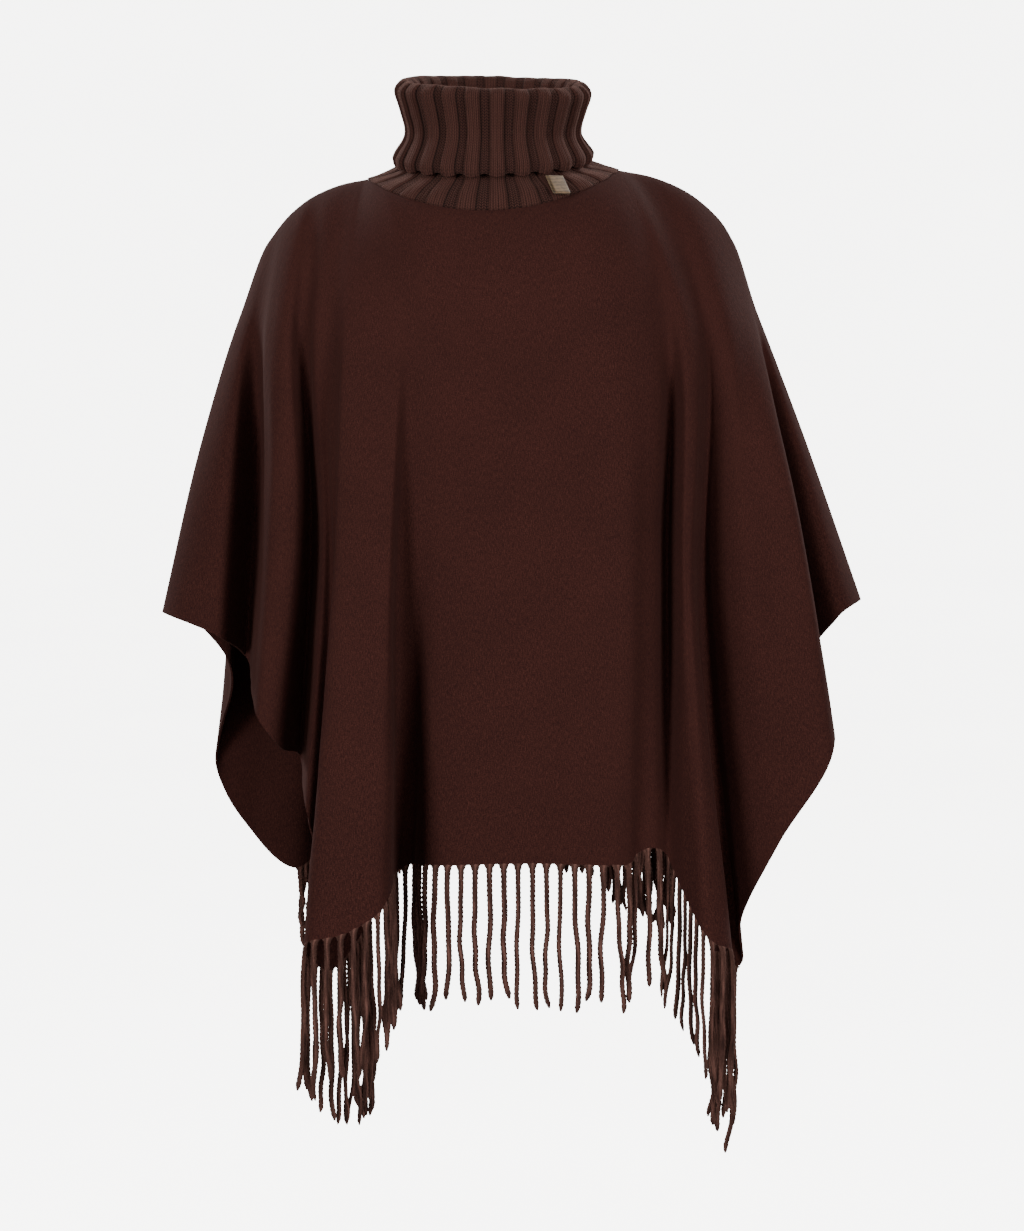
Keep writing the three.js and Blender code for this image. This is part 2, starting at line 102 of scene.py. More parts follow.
# The two panels. Fold lines run from the left arm to the right arm, as seen by who faces the panel.
# top is 0 at the neck's centre, 1 at its side and 2 at the shoulder tip
foldColumns = ("fold", "top", "chestX", "chestY", "midX", "midY", "endX", "endY", "endZ")
frontFolds = [
    ("left arm ridge", -2, -239, 0, -279, 0, -316, 0, -412),
    ("left flap", -1.92, -229, -32, -246, -46, -258, -54, -430),
    ("valley one", -1.8, -218, -42, -223, -10, -236, 0, -456),
    ("ridge two", -1.66, -203, -78, -203, -99, -218, -107, -500),
    ("ridge two right", -1.54, -188, -91, -181, -103, -198, -103, -527),
    ("valley two", -1.44, -175, -82, -170, -56, -184, -20, -549),
    ("ridge three", -1.32, -163, -96, -157, -92, -174, -84, -592),
    ("valley three", -1.2, -152, -99, -150, -91, -160, -64, -640),
    ("left corner", -1.13, -145, -103, -146, -95, -130, -56, -678),
    ("tuck", -1.08, -141, -107, -141, -105, -116, -95, -688),
    ("tuck low", -1.04, -137, -111, -142, -120, -150, -124, -733),
    ("ridge four", -1, -132, -115, -146, -141, -171, -174, -699),
    ("face four", -0.86, -110, -122, -121, -152, -135, -190, -687),
    ("face four right", -0.76, -96, -126, -104, -152, -104, -190, -669),
    ("ridge four right", -0.68, -86, -129, -93, -150, -93, -174, -655),
    ("valley four", -0.6, -74, -131, -86, -119, -89, -73, -648),
    ("valley four right", -0.5, -60, -133, -70, -123, -77, -73, -643),
    ("centre left", -0.38, -44, -134, -50, -134, -60, -120, -636),
    ("centre", 0.1, 23, -138, 32, -143, 41, -146, -630),
    ("centre right", 0.5, 87, -132, 102, -147, 110, -156, -630),
    ("step ridge", 0.6, 116, -126, 125, -142, 126, -148, -630),
    ("recess left", 0.68, 134, -118, 138, -128, 134, -137, -621),
    ("recess right", 0.76, 148, -108, 150, -115, 149, -131, -618),
    ("valley seven", 0.82, 158, -96, 161, -85, 161, -122, -628),
    ("ridge seven", 0.9, 169, -102, 173, -127, 175, -141, -658),
    ("face seven", 1, 181, -94, 182, -127, 198, -166, -697),
    ("ridge eight", 1.08, 186, -87, 187, -112, 219, -150, -709),
    ("right tuck", 1.12, 189, -83, 189, -94, 205, -114, -718),
    ("right tuck low", 1.15, 191, -80, 192, -78, 208, -86, -724),
    ("right corner", 1.18, 194, -77, 197, -70, 230, -84, -738),
    ("corner rise", 1.24, 198, -77, 204, -80, 231, -98, -690),
    ("right flap", 1.44, 215, -74, 234, -108, 264, -122, -614),
    ("ridge nine", 1.76, 240, -38, 277, -98, 312, -124, -532),
    ("valley nine", 1.87, 245, -20, 268, -10, 299, -6, -455),
    ("right arm fall", 1.94, 248, -10, 286, -26, 326, -38, -412),
    ("right arm ridge", 2, 250, 0, 297, 0, 350, 0, -400),
]
backFolds = [
    ("left arm ridge", -2, -250, 0, -297, 0, -350, 0, -400),
    ("left flap", -1.92, -240, -34, -278, -46, -318, -56, -428),
    ("valley one", -1.8, -226, -54, -250, -48, -281, -38, -474),
    ("ridge two", -1.62, -206, -80, -233, -108, -262, -134, -530),
    ("valley two", -1.42, -184, -86, -204, -66, -226, -38, -575),
    ("ridge three", -1.25, -166, -102, -188, -121, -208, -136, -624),
    ("left corner", -1.1, -148, -107, -166, -110, -180, -112, -674),
    ("ridge four", -0.95, -128, -118, -146, -141, -156, -156, -640),
    ("valley four", -0.82, -110, -120, -124, -118, -129, -96, -606),
    ("ridge five", -0.68, -92, -126, -98, -144, -102, -166, -577),
    ("valley five", -0.54, -70, -127, -73, -116, -76, -92, -560),
    ("centre left", -0.33, -42, -130, -44, -134, -45, -139, -556),
    ("centre", 0, 0, -130, 0, -138, 2, -148, -554),
    ("centre right", 0.34, 44, -129, 46, -134, 48, -141, -556),
    ("valley six", 0.54, 72, -125, 77, -112, 80, -88, -560),
    ("ridge six", 0.7, 96, -123, 104, -143, 109, -164, -577),
    ("valley seven", 0.84, 112, -117, 126, -117, 136, -98, -608),
    ("ridge seven", 1, 130, -112, 147, -132, 162, -148, -642),
    ("right corner", 1.14, 150, -100, 170, -100, 198, -122, -680),
    ("right flap", 1.4, 178, -90, 210, -102, 244, -122, -640),
    ("ridge eight", 1.7, 208, -66, 242, -92, 276, -112, -577),
    ("valley eight", 1.85, 224, -40, 248, -46, 256, -44, -468),
    ("right arm fall", 1.93, 232, -26, 264, -36, 291, -40, -423),
    ("right arm ridge", 2, 239, 0, 279, 0, 316, 0, -412),
]
# Small soft creases: beside which fold they run, over which share of the drop, how wide and deep they are,
# and how many folds they drift sideways on the way down. A negative depth is a low ridge
creaseColumns = ("place", "start", "stop", "halfWidth", "depth", "drift")
creaseEnds = 0.4  # the share of a crease's length over which each end fades
frontCreases = [
    (2.6, 0.12, 0.75, 9, -2.2, 0.2),
    (5.5, 0.05, 0.5, 10, 2.6, -0.3),
    (12.3, 0.25, 0.95, 16, 2.4, -0.2),
    (16.8, 0.1, 0.6, 22, 2.0, 0.3),
    (17.6, 0.35, 1.0, 26, -2.2, -0.2),
    (18.5, 0.3, 0.85, 20, 1.8, 0.25),
    (19.3, 0.02, 0.45, 15, -2.0, 0.3),
    (24.4, 0.3, 0.9, 9, 1.8, 0.3),
    (31.4, 0.15, 0.8, 18, 3.2, -0.4),
    (31.9, 0.35, 1.0, 14, -2.4, 0.3),
    (32.6, 0.5, 1.0, 11, 2.0, 0.1),
]
backCreases = [
    (1.6, 0.15, 0.7, 12, 2.6, 0.2),
    (4.4, 0.1, 0.8, 13, -2.4, -0.2),
    (6.5, 0.3, 0.95, 12, 2.2, 0.2),
    (9.4, 0.1, 0.55, 16, 2.0, 0.2),
    (11.5, 0.25, 0.9, 24, -2.2, -0.3),
    (12.4, 0.05, 0.6, 20, 2.0, 0.3),
    (15.3, 0.2, 0.7, 13, -2.0, 0.2),
    (18.5, 0.3, 0.95, 18, 3.0, -0.3),
    (19.6, 0.15, 0.75, 15, -2.4, 0.3),
]
cloth = {
    "thickness": 1.9, "chestZ": -130, "midShare": 0.45, "neckSlope": 0.6, "step": 4.3, "overMeasure": 1.12,
    "neckHalfWidth": 117, "neckSideZ": 1, "neckTilt": 4, "neckPower": 1.7, "seamGap": 0.1, "topFade": 0.1,
    "waver": 1.3, "waverSize": 85, "hemWaver": 1.6, "hemWaverSize": 38, "hemWaverFrom": 0.8,
    "rowsPerSpan": [30, 52, 62], "easing": 45, "easedRows": 50, "seamFade": 22, "smoothAngle": 50,
}
shoulder = {"left": {"reach": 89, "drop": 55}, "right": {"reach": 103, "drop": 61}}
# Each point as its share of the reach and its share of the drop
shoulderLine = [(0, 0), (0.3, 0.1), (0.61, 0.32), (0.86, 0.66), (1, 1)]
panels = {
    "front": {"folds": frontFolds, "creases": frontCreases, "neckDepth": 98, "neckZ": -35, "turned": False,
              "clothSeed": 11.2, "strandSeed": 17,
              "strand": 132, "cornerStrands": (198, 168), "flat": (1.16, 0.66), "area": 0.61},
    "back": {"folds": backFolds, "creases": backCreases, "neckDepth": 88, "neckZ": 12, "turned": True,
             "clothSeed": 3.7, "strandSeed": 41,
             "strand": 117, "cornerStrands": (70, 70), "flat": (1.16, 0.61), "area": 0.53},
}


def mix(a, b, share):
    return a + (b - a) * share


def smoothStep(x):
    x = np.clip(x, 0, 1)
    return x * x * (3 - 2 * x)


# The middle span of four points, as a smooth curve that doesn't overshoot
def spanPoint(p0, p1, p2, p3, w):
    def spread(a, b):
        return np.sqrt(np.maximum(np.linalg.norm(b - a, axis=-1, keepdims=True), 1e-9))
    d0, d1, d2 = spread(p0, p1), spread(p1, p2), spread(p2, p3)
    t1 = ((p1 - p0) / d0 - (p2 - p0) / (d0 + d1) + (p2 - p1) / d1) * d1
    t2 = ((p2 - p1) / d1 - (p3 - p1) / (d1 + d2) + (p3 - p2) / d2) * d1
    return p1 + t1 * w + (3 * (p2 - p1) - 2 * t1 - t2) * w ** 2 + (2 * (p1 - p2) + t1 + t2) * w ** 3


# Points of an open curve at places counted in its own points
def curveAt(points, places):
    points = np.asarray(points, float)
    padded = np.vstack([2 * points[0] - points[1], points, 2 * points[-1] - points[-2]])
    at = np.clip(np.floor(places).astype(int), 0, len(points) - 2)
    w = (places - at)[:, None]
    return spanPoint(padded[at], padded[at + 1], padded[at + 2], padded[at + 3], w)


# A curve across the folds at one level, mirrored past the arms so that it rounds the ridges there
def acrossCurve(points, places):
    flip = np.array([1, -1, 1])
    points = np.asarray(points, float)
    allPoints = np.vstack([points[1] * flip, points, points[-2] * flip])
    return curveAt(allPoints, places + 1)


# Where the cloth starts: on the neck edge, or past it on the shoulder line
def topPoints(along, panel):
    tilt = cloth["neckTilt"] * (-1 if panel["turned"] else 1)
    side = np.where(along < 0, -1.0, 1.0)
    angle = np.clip(along, -1, 1) * math.pi / 2
    rise = mix(cloth["neckSideZ"], panel["neckZ"], np.abs(np.cos(angle)) ** cloth["neckPower"])
    neck = np.stack([
        cloth["neckHalfWidth"] * np.sin(angle),
        -panel["neckDepth"] * np.cos(angle),
        rise + tilt * np.sin(angle),
    ], axis=1)
    sides = [shoulder["left"], shoulder["right"]]
    if panel["turned"]:
        sides.reverse()
    reach = np.where(along < 0, sides[0]["reach"], sides[1]["reach"])
    drop = np.where(along < 0, sides[0]["drop"], sides[1]["drop"])
    line = np.array([(share, 0.0, -fall) for share, fall in shoulderLine])
    out = curveAt(line, np.clip(np.abs(along) - 1, 0, 1) * (len(line) - 1))
    over = np.stack([
        side * (cloth["neckHalfWidth"] + out[:, 0] * reach),
        np.zeros_like(along),
        cloth["neckSideZ"] + tilt * side + out[:, 2] * drop,
    ], axis=1)
    return np.where(np.abs(along)[:, None] <= 1, neck, over)


# The panel's outer face as a grid of points: columns across the folds, rows down
def panelGrid(panel):
    folds = [dict(zip(foldColumns, row)) for row in panel["folds"]]
    chest = [(f["chestX"], f["chestY"], cloth["chestZ"]) for f in folds]
    mid = [(f["midX"], f["midY"], mix(cloth["chestZ"], f["endZ"], cloth["midShare"])) for f in folds]
    end = [(f["endX"], f["endY"], f["endZ"]) for f in folds]
    # Even columns: their spacing follows the longest of the three levels
    fine = np.linspace(0, len(folds) - 1, 4000)
    levels = [acrossCurve(level, fine) for level in (chest, mid, end)]
    lengths = [np.linalg.norm(np.diff(level, axis=0), axis=1) for level in levels]
    measure = np.concatenate([[0], np.cumsum(np.max(lengths, axis=0))])
    count = int(measure[-1] / cloth["step"] / cloth["overMeasure"])
    places = np.interp(np.linspace(0, measure[-1], count), measure, fine)
    along = np.interp(places, np.arange(len(folds)), [f["top"] for f in folds])
    top = topPoints(along, panel)
    knots = [top] + [acrossCurve(level, places) for level in (chest, mid, end)]
    slope = ((1 - np.minimum(1, np.abs(along)) ** 2) * cloth["neckSlope"])[:, None]
    level = np.stack([top[:, 0] * 2 - knots[1][:, 0], -knots[1][:, 1], knots[1][:, 2]], axis=1)
    lead = mix(level, 2 * top - knots[1], slope)
    tail = 2 * knots[3] - knots[2]
    chain = [lead] + knots + [tail]
    grid = []
    for span, rows in enumerate(cloth["rowsPerSpan"]):
        for w in np.arange(rows) / rows:
            grid.append(spanPoint(*chain[span:span + 4], w))
    grid.append(knots[3])
    return easeCorner(np.stack(grid, axis=1)), places


def normalsOf(grid):
    right = np.gradient(grid, axis=0)
    down = np.gradient(grid, axis=1)
    normal = np.cross(down, right)
    normal[np.abs(grid[..., 1]) < 1e-6, 1] = 0  # both panels end in one plane at the shoulder and arms
    return normal / np.linalg.norm(normal, axis=-1, keepdims=True)


# The neck edge meets the shoulder line at a corner, and below it the cloth is eased into a soft curve
def easeCorner(grid):
    rows = np.arange(grid.shape[1])
    strength = (smoothStep(rows / 5) * smoothStep((cloth["easedRows"] - rows) / 30))[None, :, None]
    for _ in range(cloth["easing"]):
        mean = (grid[:-2] + 2 * grid[1:-1] + grid[2:]) / 4
        grid[3:-3] = mix(grid[3:-3], mean[2:-2], strength)
    return grid


# Lays the small creases and a slow unevenness on the grid, fading at the seams
def soften(grid, places, panel):
    columns, rows = grid.shape[:2]
    seed = panel["clothSeed"]
    steps = np.linalg.norm(np.diff(grid, axis=0), axis=2)
    across = np.concatenate([np.zeros((1, rows)), np.cumsum(steps, axis=0)])
    downShare = np.linspace(0, 1, rows)
    fromArm = np.minimum(across, across[-1] - across)
    fade = smoothStep(fromArm / cloth["seamFade"]) * smoothStep(downShare / cloth["topFade"])[None, :]
    push = np.zeros((columns, rows))
    for row in panel["creases"]:
        crease = dict(zip(creaseColumns, row))
        span = (downShare - crease["start"]) / (crease["stop"] - crease["start"])
        ends = smoothStep(span / creaseEnds)
        if crease["stop"] < 1:
            ends = ends * smoothStep((1 - span) / creaseEnds)
        for r in range(rows):
            if ends[r] > 0:
                centre = np.interp(crease["place"] + crease["drift"] * span[r], places, across[:, r])
                off = (across[:, r] - centre) / crease["halfWidth"]
                push[:, r] -= crease["depth"] * ends[r] * np.exp(-off ** 2)
    size, hemSize = cloth["waverSize"], cloth["hemWaverSize"]
    for c in range(columns):
        for r in range(rows):
            spot = Vector(grid[c, r])
            push[c, r] += cloth["waver"] * noise.noise(spot / size + Vector((seed, 0, 0)))
        edge = noise.noise(Vector((across[c, -1] / hemSize, seed, 0)))
        nearHem = (downShare - cloth["hemWaverFrom"]) / 0.2
        push[c] += cloth["hemWaver"] * edge * smoothStep(nearHem)
    return grid + normalsOf(grid) * (push * fade)[..., None]


# A mesh from arrays, with a texture place for each face corner
def meshPiece(name, points, faces, corners):
    mesh = bpy.data.meshes.new(name)
    mesh.from_pydata((np.asarray(points) * mm).tolist(), [], faces.tolist())
    layer = mesh.uv_layers.new(name="lay")
    layer.data.foreach_set("uv", np.asarray(corners, np.float32).ravel())
    mesh.validate()
    piece = bpy.data.objects.new(name, mesh)
    bpy.context.collection.objects.link(piece)
    return piece


def smooth(piece, angle):
    selectOnly(piece)
    bpy.ops.object.shade_smooth_by_angle(angle=math.radians(angle))


# A closed thin wall between two equal grids, the first one outside
def wallPiece(name, outer, inner, laid):
    columns, rows = outer.shape[:2]
    points = np.concatenate([outer.reshape(-1, 3), inner.reshape(-1, 3)])
    number = np.arange(columns * rows).reshape(columns, rows)
    below = number + columns * rows

    def quads(a, b, c, d):
        return np.stack([a.ravel(), b.ravel(), c.ravel(), d.ravel()], axis=1)
    faces = np.concatenate([
        quads(number[:-1, :-1], number[:-1, 1:], number[1:, 1:], number[1:, :-1]),
        quads(below[:-1, :-1], below[1:, :-1], below[1:, 1:], below[:-1, 1:]),
        quads(number[:-1, 0], number[1:, 0], below[1:, 0], below[:-1, 0]),
        quads(number[:-1, -1], below[:-1, -1], below[1:, -1], number[1:, -1]),
        quads(number[0, :-1], below[0, :-1], below[0, 1:], number[0, 1:]),
        quads(number[-1, :-1], number[-1, 1:], below[-1, 1:], below[-1, :-1]),
    ])
    flatUv = np.concatenate([laid.reshape(-1, 2)] * 2)
    return meshPiece(name, points, faces, flatUv[faces.ravel()])


# Both faces of a panel, turned to its side of the body
def panelFaces(name):
    panel = panels[name]
    grid, places = panelGrid(panel)
    outer = soften(grid, places, panel)
    inner = outer - normalsOf(outer) * cloth["thickness"]
    middle = grid.shape[1] // 2
    across = np.concatenate([[0], np.cumsum(np.linalg.norm(np.diff(grid[:, middle], axis=0), axis=1))])
    down = np.cumsum(np.linalg.norm(np.diff(grid, axis=1), axis=2), axis=1)
    down = np.concatenate([np.zeros((len(down), 1)), down], axis=1)
    laid = np.stack([np.broadcast_to(across[:, None], down.shape), down], axis=-1) * mm
    for face in (outer, inner):
        face[..., 1] -= cloth["seamGap"] / 2
        if panel["turned"]:
            face[..., :2] *= -1
    return outer, inner, laid, places


def makePanel(name):
    outer, inner, laid, places = panelFaces(name)
    piece = wallPiece(name + "Cloth", outer, inner, laid)
    smooth(piece, cloth["smoothAngle"])
    return piece, outer, inner, places


# The fringe: yarn strands that grow out of the hem, with a rounded gap between each two
fringe = {
    "pitch": 13.2, "cornerMargin": 5, "halfThick": 2.65, "rootHalf": 6.4, "rootDeep": 0.85, "rootFade": 2.9,
    "rootSunk": 0.8, "rootReach": 3,
    "sides": 8, "rings": 86, "plies": 0.12, "twist": 9, "bendOver": 14, "tip": 5, "wave": 2.8,
    "lean": 5.5, "strayShare": 0.12, "stray": 3.5, "forward": 2.4, "uneven": 12, "pairing": 3.4,
    "cornerPart": 0.125, "cornerSpread": 0.6, "cornerWave": 0.7, "cornerUneven": 26, "denseFrom": 0.2,
}


# The middle line of one strand. It leaves with the cloth's slope, then hangs straight, waving more towards
# its end. side is the one that it leans to near a corner, where the strands cling together in pairs
def strandLine(root, hang, share, length, near, side, dice):
    d = share * length
    bend = 1 - np.exp(-d / fringe["bendOver"])
    fall = hang[None, :] * (1 - bend)[:, None] + np.array([0, 0, -1.0]) * bend[:, None]
    fall /= np.linalg.norm(fall, axis=1, keepdims=True)
    steps = np.cumsum(fall[1:] * np.diff(d)[:, None], axis=0)
    line = root + np.concatenate([np.zeros((1, 3)), steps])
    sway = share ** 1.2 * (1 + fringe["cornerWave"] * near)
    phase = [dice.uniform(0, 2 * math.pi) for _ in range(4)]
    turns = [dice.uniform(0.7, 1.4), dice.uniform(2.0, 3.6)]
    aside = dice.uniform(-1, 1) ** 3 * fringe["lean"]
    aside += (dice.random() < fringe["strayShare"]) * dice.choice((-1, 1)) * fringe["stray"]
    aside += near * fringe["pairing"] * side
    forward = dice.uniform(-1, 1) * fringe["forward"]
    slow, quick = turns[0] * 2 * math.pi * share, turns[1] * 2 * math.pi * share
    waveX = np.sin(phase[0] + slow) * 0.8 + np.sin(phase[1] + quick) * 0.35
    waveY = np.sin(phase[2] + slow) * 0.7 + np.sin(phase[3] + quick) * 0.3
    waveX = aside * share ** 1.6 + fringe["wave"] * sway * waveX
    waveY = forward * share ** 1.6 + fringe["wave"] * sway * waveY
    return line + np.stack([waveX, waveY, np.zeros(len(share))], axis=1)


# Rings of points round a strand: wide and flat at the root, then two plies that twist, and a blunt point
def strandRings(line, d, tangent, outward, dice):
    turn = 2 * math.pi * np.arange(fringe["sides"]) / fringe["sides"]
    flare = np.exp(-d / fringe["rootFade"])
    tip = np.sqrt(np.clip((d[-1] - d) / fringe["tip"], 0.12, 1))
    thick = fringe["halfThick"] * dice.uniform(0.9, 1.1)
    wide = (thick + (fringe["rootHalf"] - thick) * flare) * tip
    deep = mix(thick, fringe["rootDeep"], flare) * tip
    spin = dice.uniform(0, 6.28) + d * 2 * math.pi / fringe["twist"]
    lobe = 1 + fringe["plies"] * (1 - flare)[:, None] * np.cos(2 * (turn[None, :] - spin[:, None]))
    sideways = (wide[:, None] * np.cos(turn)[None, :] * lobe)[..., None]
    outwards = (deep[:, None] * np.sin(turn)[None, :] * lobe)[..., None]
    return line[:, None, :] + tangent * sideways + outward * outwards


# The faces of one strand's rings and its two ends, and a texture place for each of their corners
def strandFaces(d):
    rings, sides = len(d), fringe["sides"]
    number = np.arange(rings * sides).reshape(rings, sides)
    beside = np.roll(number, -1, axis=1)
    faces = np.stack([number[:-1], number[1:], beside[1:], beside[:-1]], axis=-1).reshape(-1, 4).tolist()
    u, v = np.arange(sides) / sides, d * mm
    corners = []
    for above, below in zip(v[:-1], v[1:]):
        for left in u:
            right = left + 1 / sides
            corners += [(left, above), (left, below), (right, below), (right, above)]
    for ring, order in ((0, range(sides)), (rings - 1, range(sides - 1, -1, -1))):
        faces.append([int(number[ring, s]) for s in order])
        corners += [(u[s], v[ring]) for s in order]
    return faces, corners


def makeFringe(name, outer, inner, places):
    panel = panels[name]
    names = [row[0] for row in panel["folds"]]
    hemOuter, hemInner, above = outer[:, -1], inner[:, -1], outer[:, -4]
    distance = np.concatenate([[0], np.cumsum(np.linalg.norm(np.diff(hemOuter, axis=0), axis=1))])
    corners = [names.index(corner) for corner in ("left corner", "right corner")]
    first, last = np.interp(corners, places, distance)
    count = int((last - first - fringe["cornerMargin"]) / fringe["pitch"]) + 1
    start = first + ((last - first) - (count - 1) * fringe["pitch"]) / 2
    dice = random.Random(panel["strandSeed"])
    share = np.linspace(0, 1, fringe["rings"]) ** 1.15

    def nearCorner(place):
        return max(0, 1 - min(place, count - 1 - place) / count / fringe["cornerPart"])

    def hemPoint(grid, d):
        return np.array([np.interp(d, distance, grid[:, k]) for k in range(3)])

    # Near a corner another strand hangs between each two
    between = [k + 0.5 for k in range(count - 1) if nearCorner(k + 0.5) > fringe["denseFrom"]]
    allPoints, allFaces, allCorners = [], [], []
    for strand, place in enumerate(sorted([*range(count), *between])):
        at = start + place * fringe["pitch"]
        left, right = (hemPoint(hemOuter, at + step) for step in (-fringe["rootReach"], fringe["rootReach"]))
        middle = (hemPoint(hemOuter, at) + hemPoint(hemInner, at)) / 2
        hang = middle - (hemPoint(above, at) + hemPoint(hemInner, at) - hemPoint(hemOuter, at))
        hang = hang / np.linalg.norm(hang)
        tangent = (right - left) / np.linalg.norm(right - left)
        outward = np.cross(hang, tangent)
        outward /= np.linalg.norm(outward)
        near = nearCorner(place)
        cornerStrand = panel["cornerStrands"][0 if place < count / 2 else 1]
        length = mix(panel["strand"], cornerStrand, near ** fringe["cornerSpread"])
        length += dice.uniform(-0.5, 0.5) * (fringe["uneven"] + fringe["cornerUneven"] * near)
        root = middle - hang * fringe["rootSunk"]
        line = strandLine(root, hang, share, length, near, 1 if strand % 2 else -1, dice)
        points = strandRings(line, share * length, tangent, outward, dice).reshape(-1, 3)
        faces, corners = strandFaces(share * length)
        base = strand * len(points)
        allPoints.append(points)
        allFaces += [[base + corner for corner in face] for face in faces]
        allCorners += corners
    mesh = bpy.data.meshes.new(name + "Fringe")
    mesh.from_pydata((np.concatenate(allPoints) * mm).tolist(), [], allFaces)
    layer = mesh.uv_layers.new(name="lay")
    layer.data.foreach_set("uv", np.asarray(allCorners, np.float32).ravel())
    piece = bpy.data.objects.new(name + "Fringe", mesh)
    bpy.context.collection.objects.link(piece)
    smooth(piece, 60)
    return piece


clothPieces, fringePieces = {}, {}
for name in panels:
    clothPieces[name], outer, inner, places = makePanel(name)
    fringePieces[name] = makeFringe(name, outer, inner, places)
    made = [len(piece.data.polygons) for piece in (clothPieces[name], fringePieces[name])]
    print(name, "cloth and fringe made", *made)


# The roll neck. Its wall is one closed loop of oval rings: up the stand from the seam, down the turnover's
# inner face, round its free edge, up its outer face, over the rim and down the neck's inside.
# power says how soon the height leaves the side's, tilt how much higher the right side is,
# and ribbed how far the ribs stand proud there, negative on the inside
ringColumns = ("half", "front", "back", "frontZ", "sideZ", "backZ", "power", "tilt", "ribbed")
collarRings = [
    (117, 98, 88, -35, 1, 12, 1.7, 4, 0.35),  # seam
    (106, 91.5, 85, -21, 4, 20, 1.4, 4, 1),  # stand
    (83, 77.5, 75, -2, 12, 30, 0.9, 2, 1),
    (72, 68, 68, 33, 39, 52, 0.9, 0, 0),
    (80, 73, 73, 70, 79, 86, 0.8, -2, 0),  # inside the fold
    (75.5, 70.5, 71, 32, 38, 54, 0.9, 0, 0),
    (86, 83, 81, 0, 17, 32, 0.9, 2, 0.2),
    (89, 86.5, 84.5, -4, 12.5, 28, 0.9, 2, 0.6),  # turnover's edge
    (90.5, 87.5, 85.5, 3, 19, 35, 0.9, 2, 1),
    (79.5, 75, 75, 33, 38, 54, 0.9, 0, 1),  # waist
    (84, 78, 78, 54, 60, 74, 0.8, -1, 1),
    (88, 81, 81, 70, 78, 86, 0.8, -2, 1),
    (81, 75, 75, 76.5, 88, 97.5, 0.8, -2, 0.5),  # rim
    (75, 68.5, 68.5, 72, 83, 93, 0.8, -2, -0.5),
    (69, 64.5, 64.5, 32, 38, 52, 0.9, 0, -0.5),
    (80.5, 74, 71, -5, 8, 26, 1.1, 2, -0.3),
    (113.8, 94.6, 84.6, -36, -0.2, 11.4, 1.7, 4, 0),
]
knit = {
    "ribs": 24, "raised": 3.5, "band": 0.64, "bandEdge": 0.12, "wales": 4, "waleHigh": 1.0, "purlHigh": 0.35,
    "columns": 20, "step": 3.4, "lift": 0.5, "crimp": 1.3, "crimpOut": 0.7, "crimpRings": 0.7, "edgeRing": 7,
    "course": 2.7, "turn": -0.15, "waver": 1.5, "waverSize": 34, "waverFrom": -10, "waverFull": 50,
    "oval": 1.15,
}


def ovalPoints(angle, ring):
    cosine, sine = np.cos(angle), np.sin(angle)
    depth = np.where(cosine > 0, ring["front"], ring["back"])
    endZ = np.where(cosine > 0, ring["frontZ"], ring["backZ"])
    height = mix(ring["sideZ"], endZ, np.abs(cosine) ** ring["power"]) + ring["tilt"] * sine
    return np.stack([ring["half"] * sine, -depth * cosine, height], axis=1)


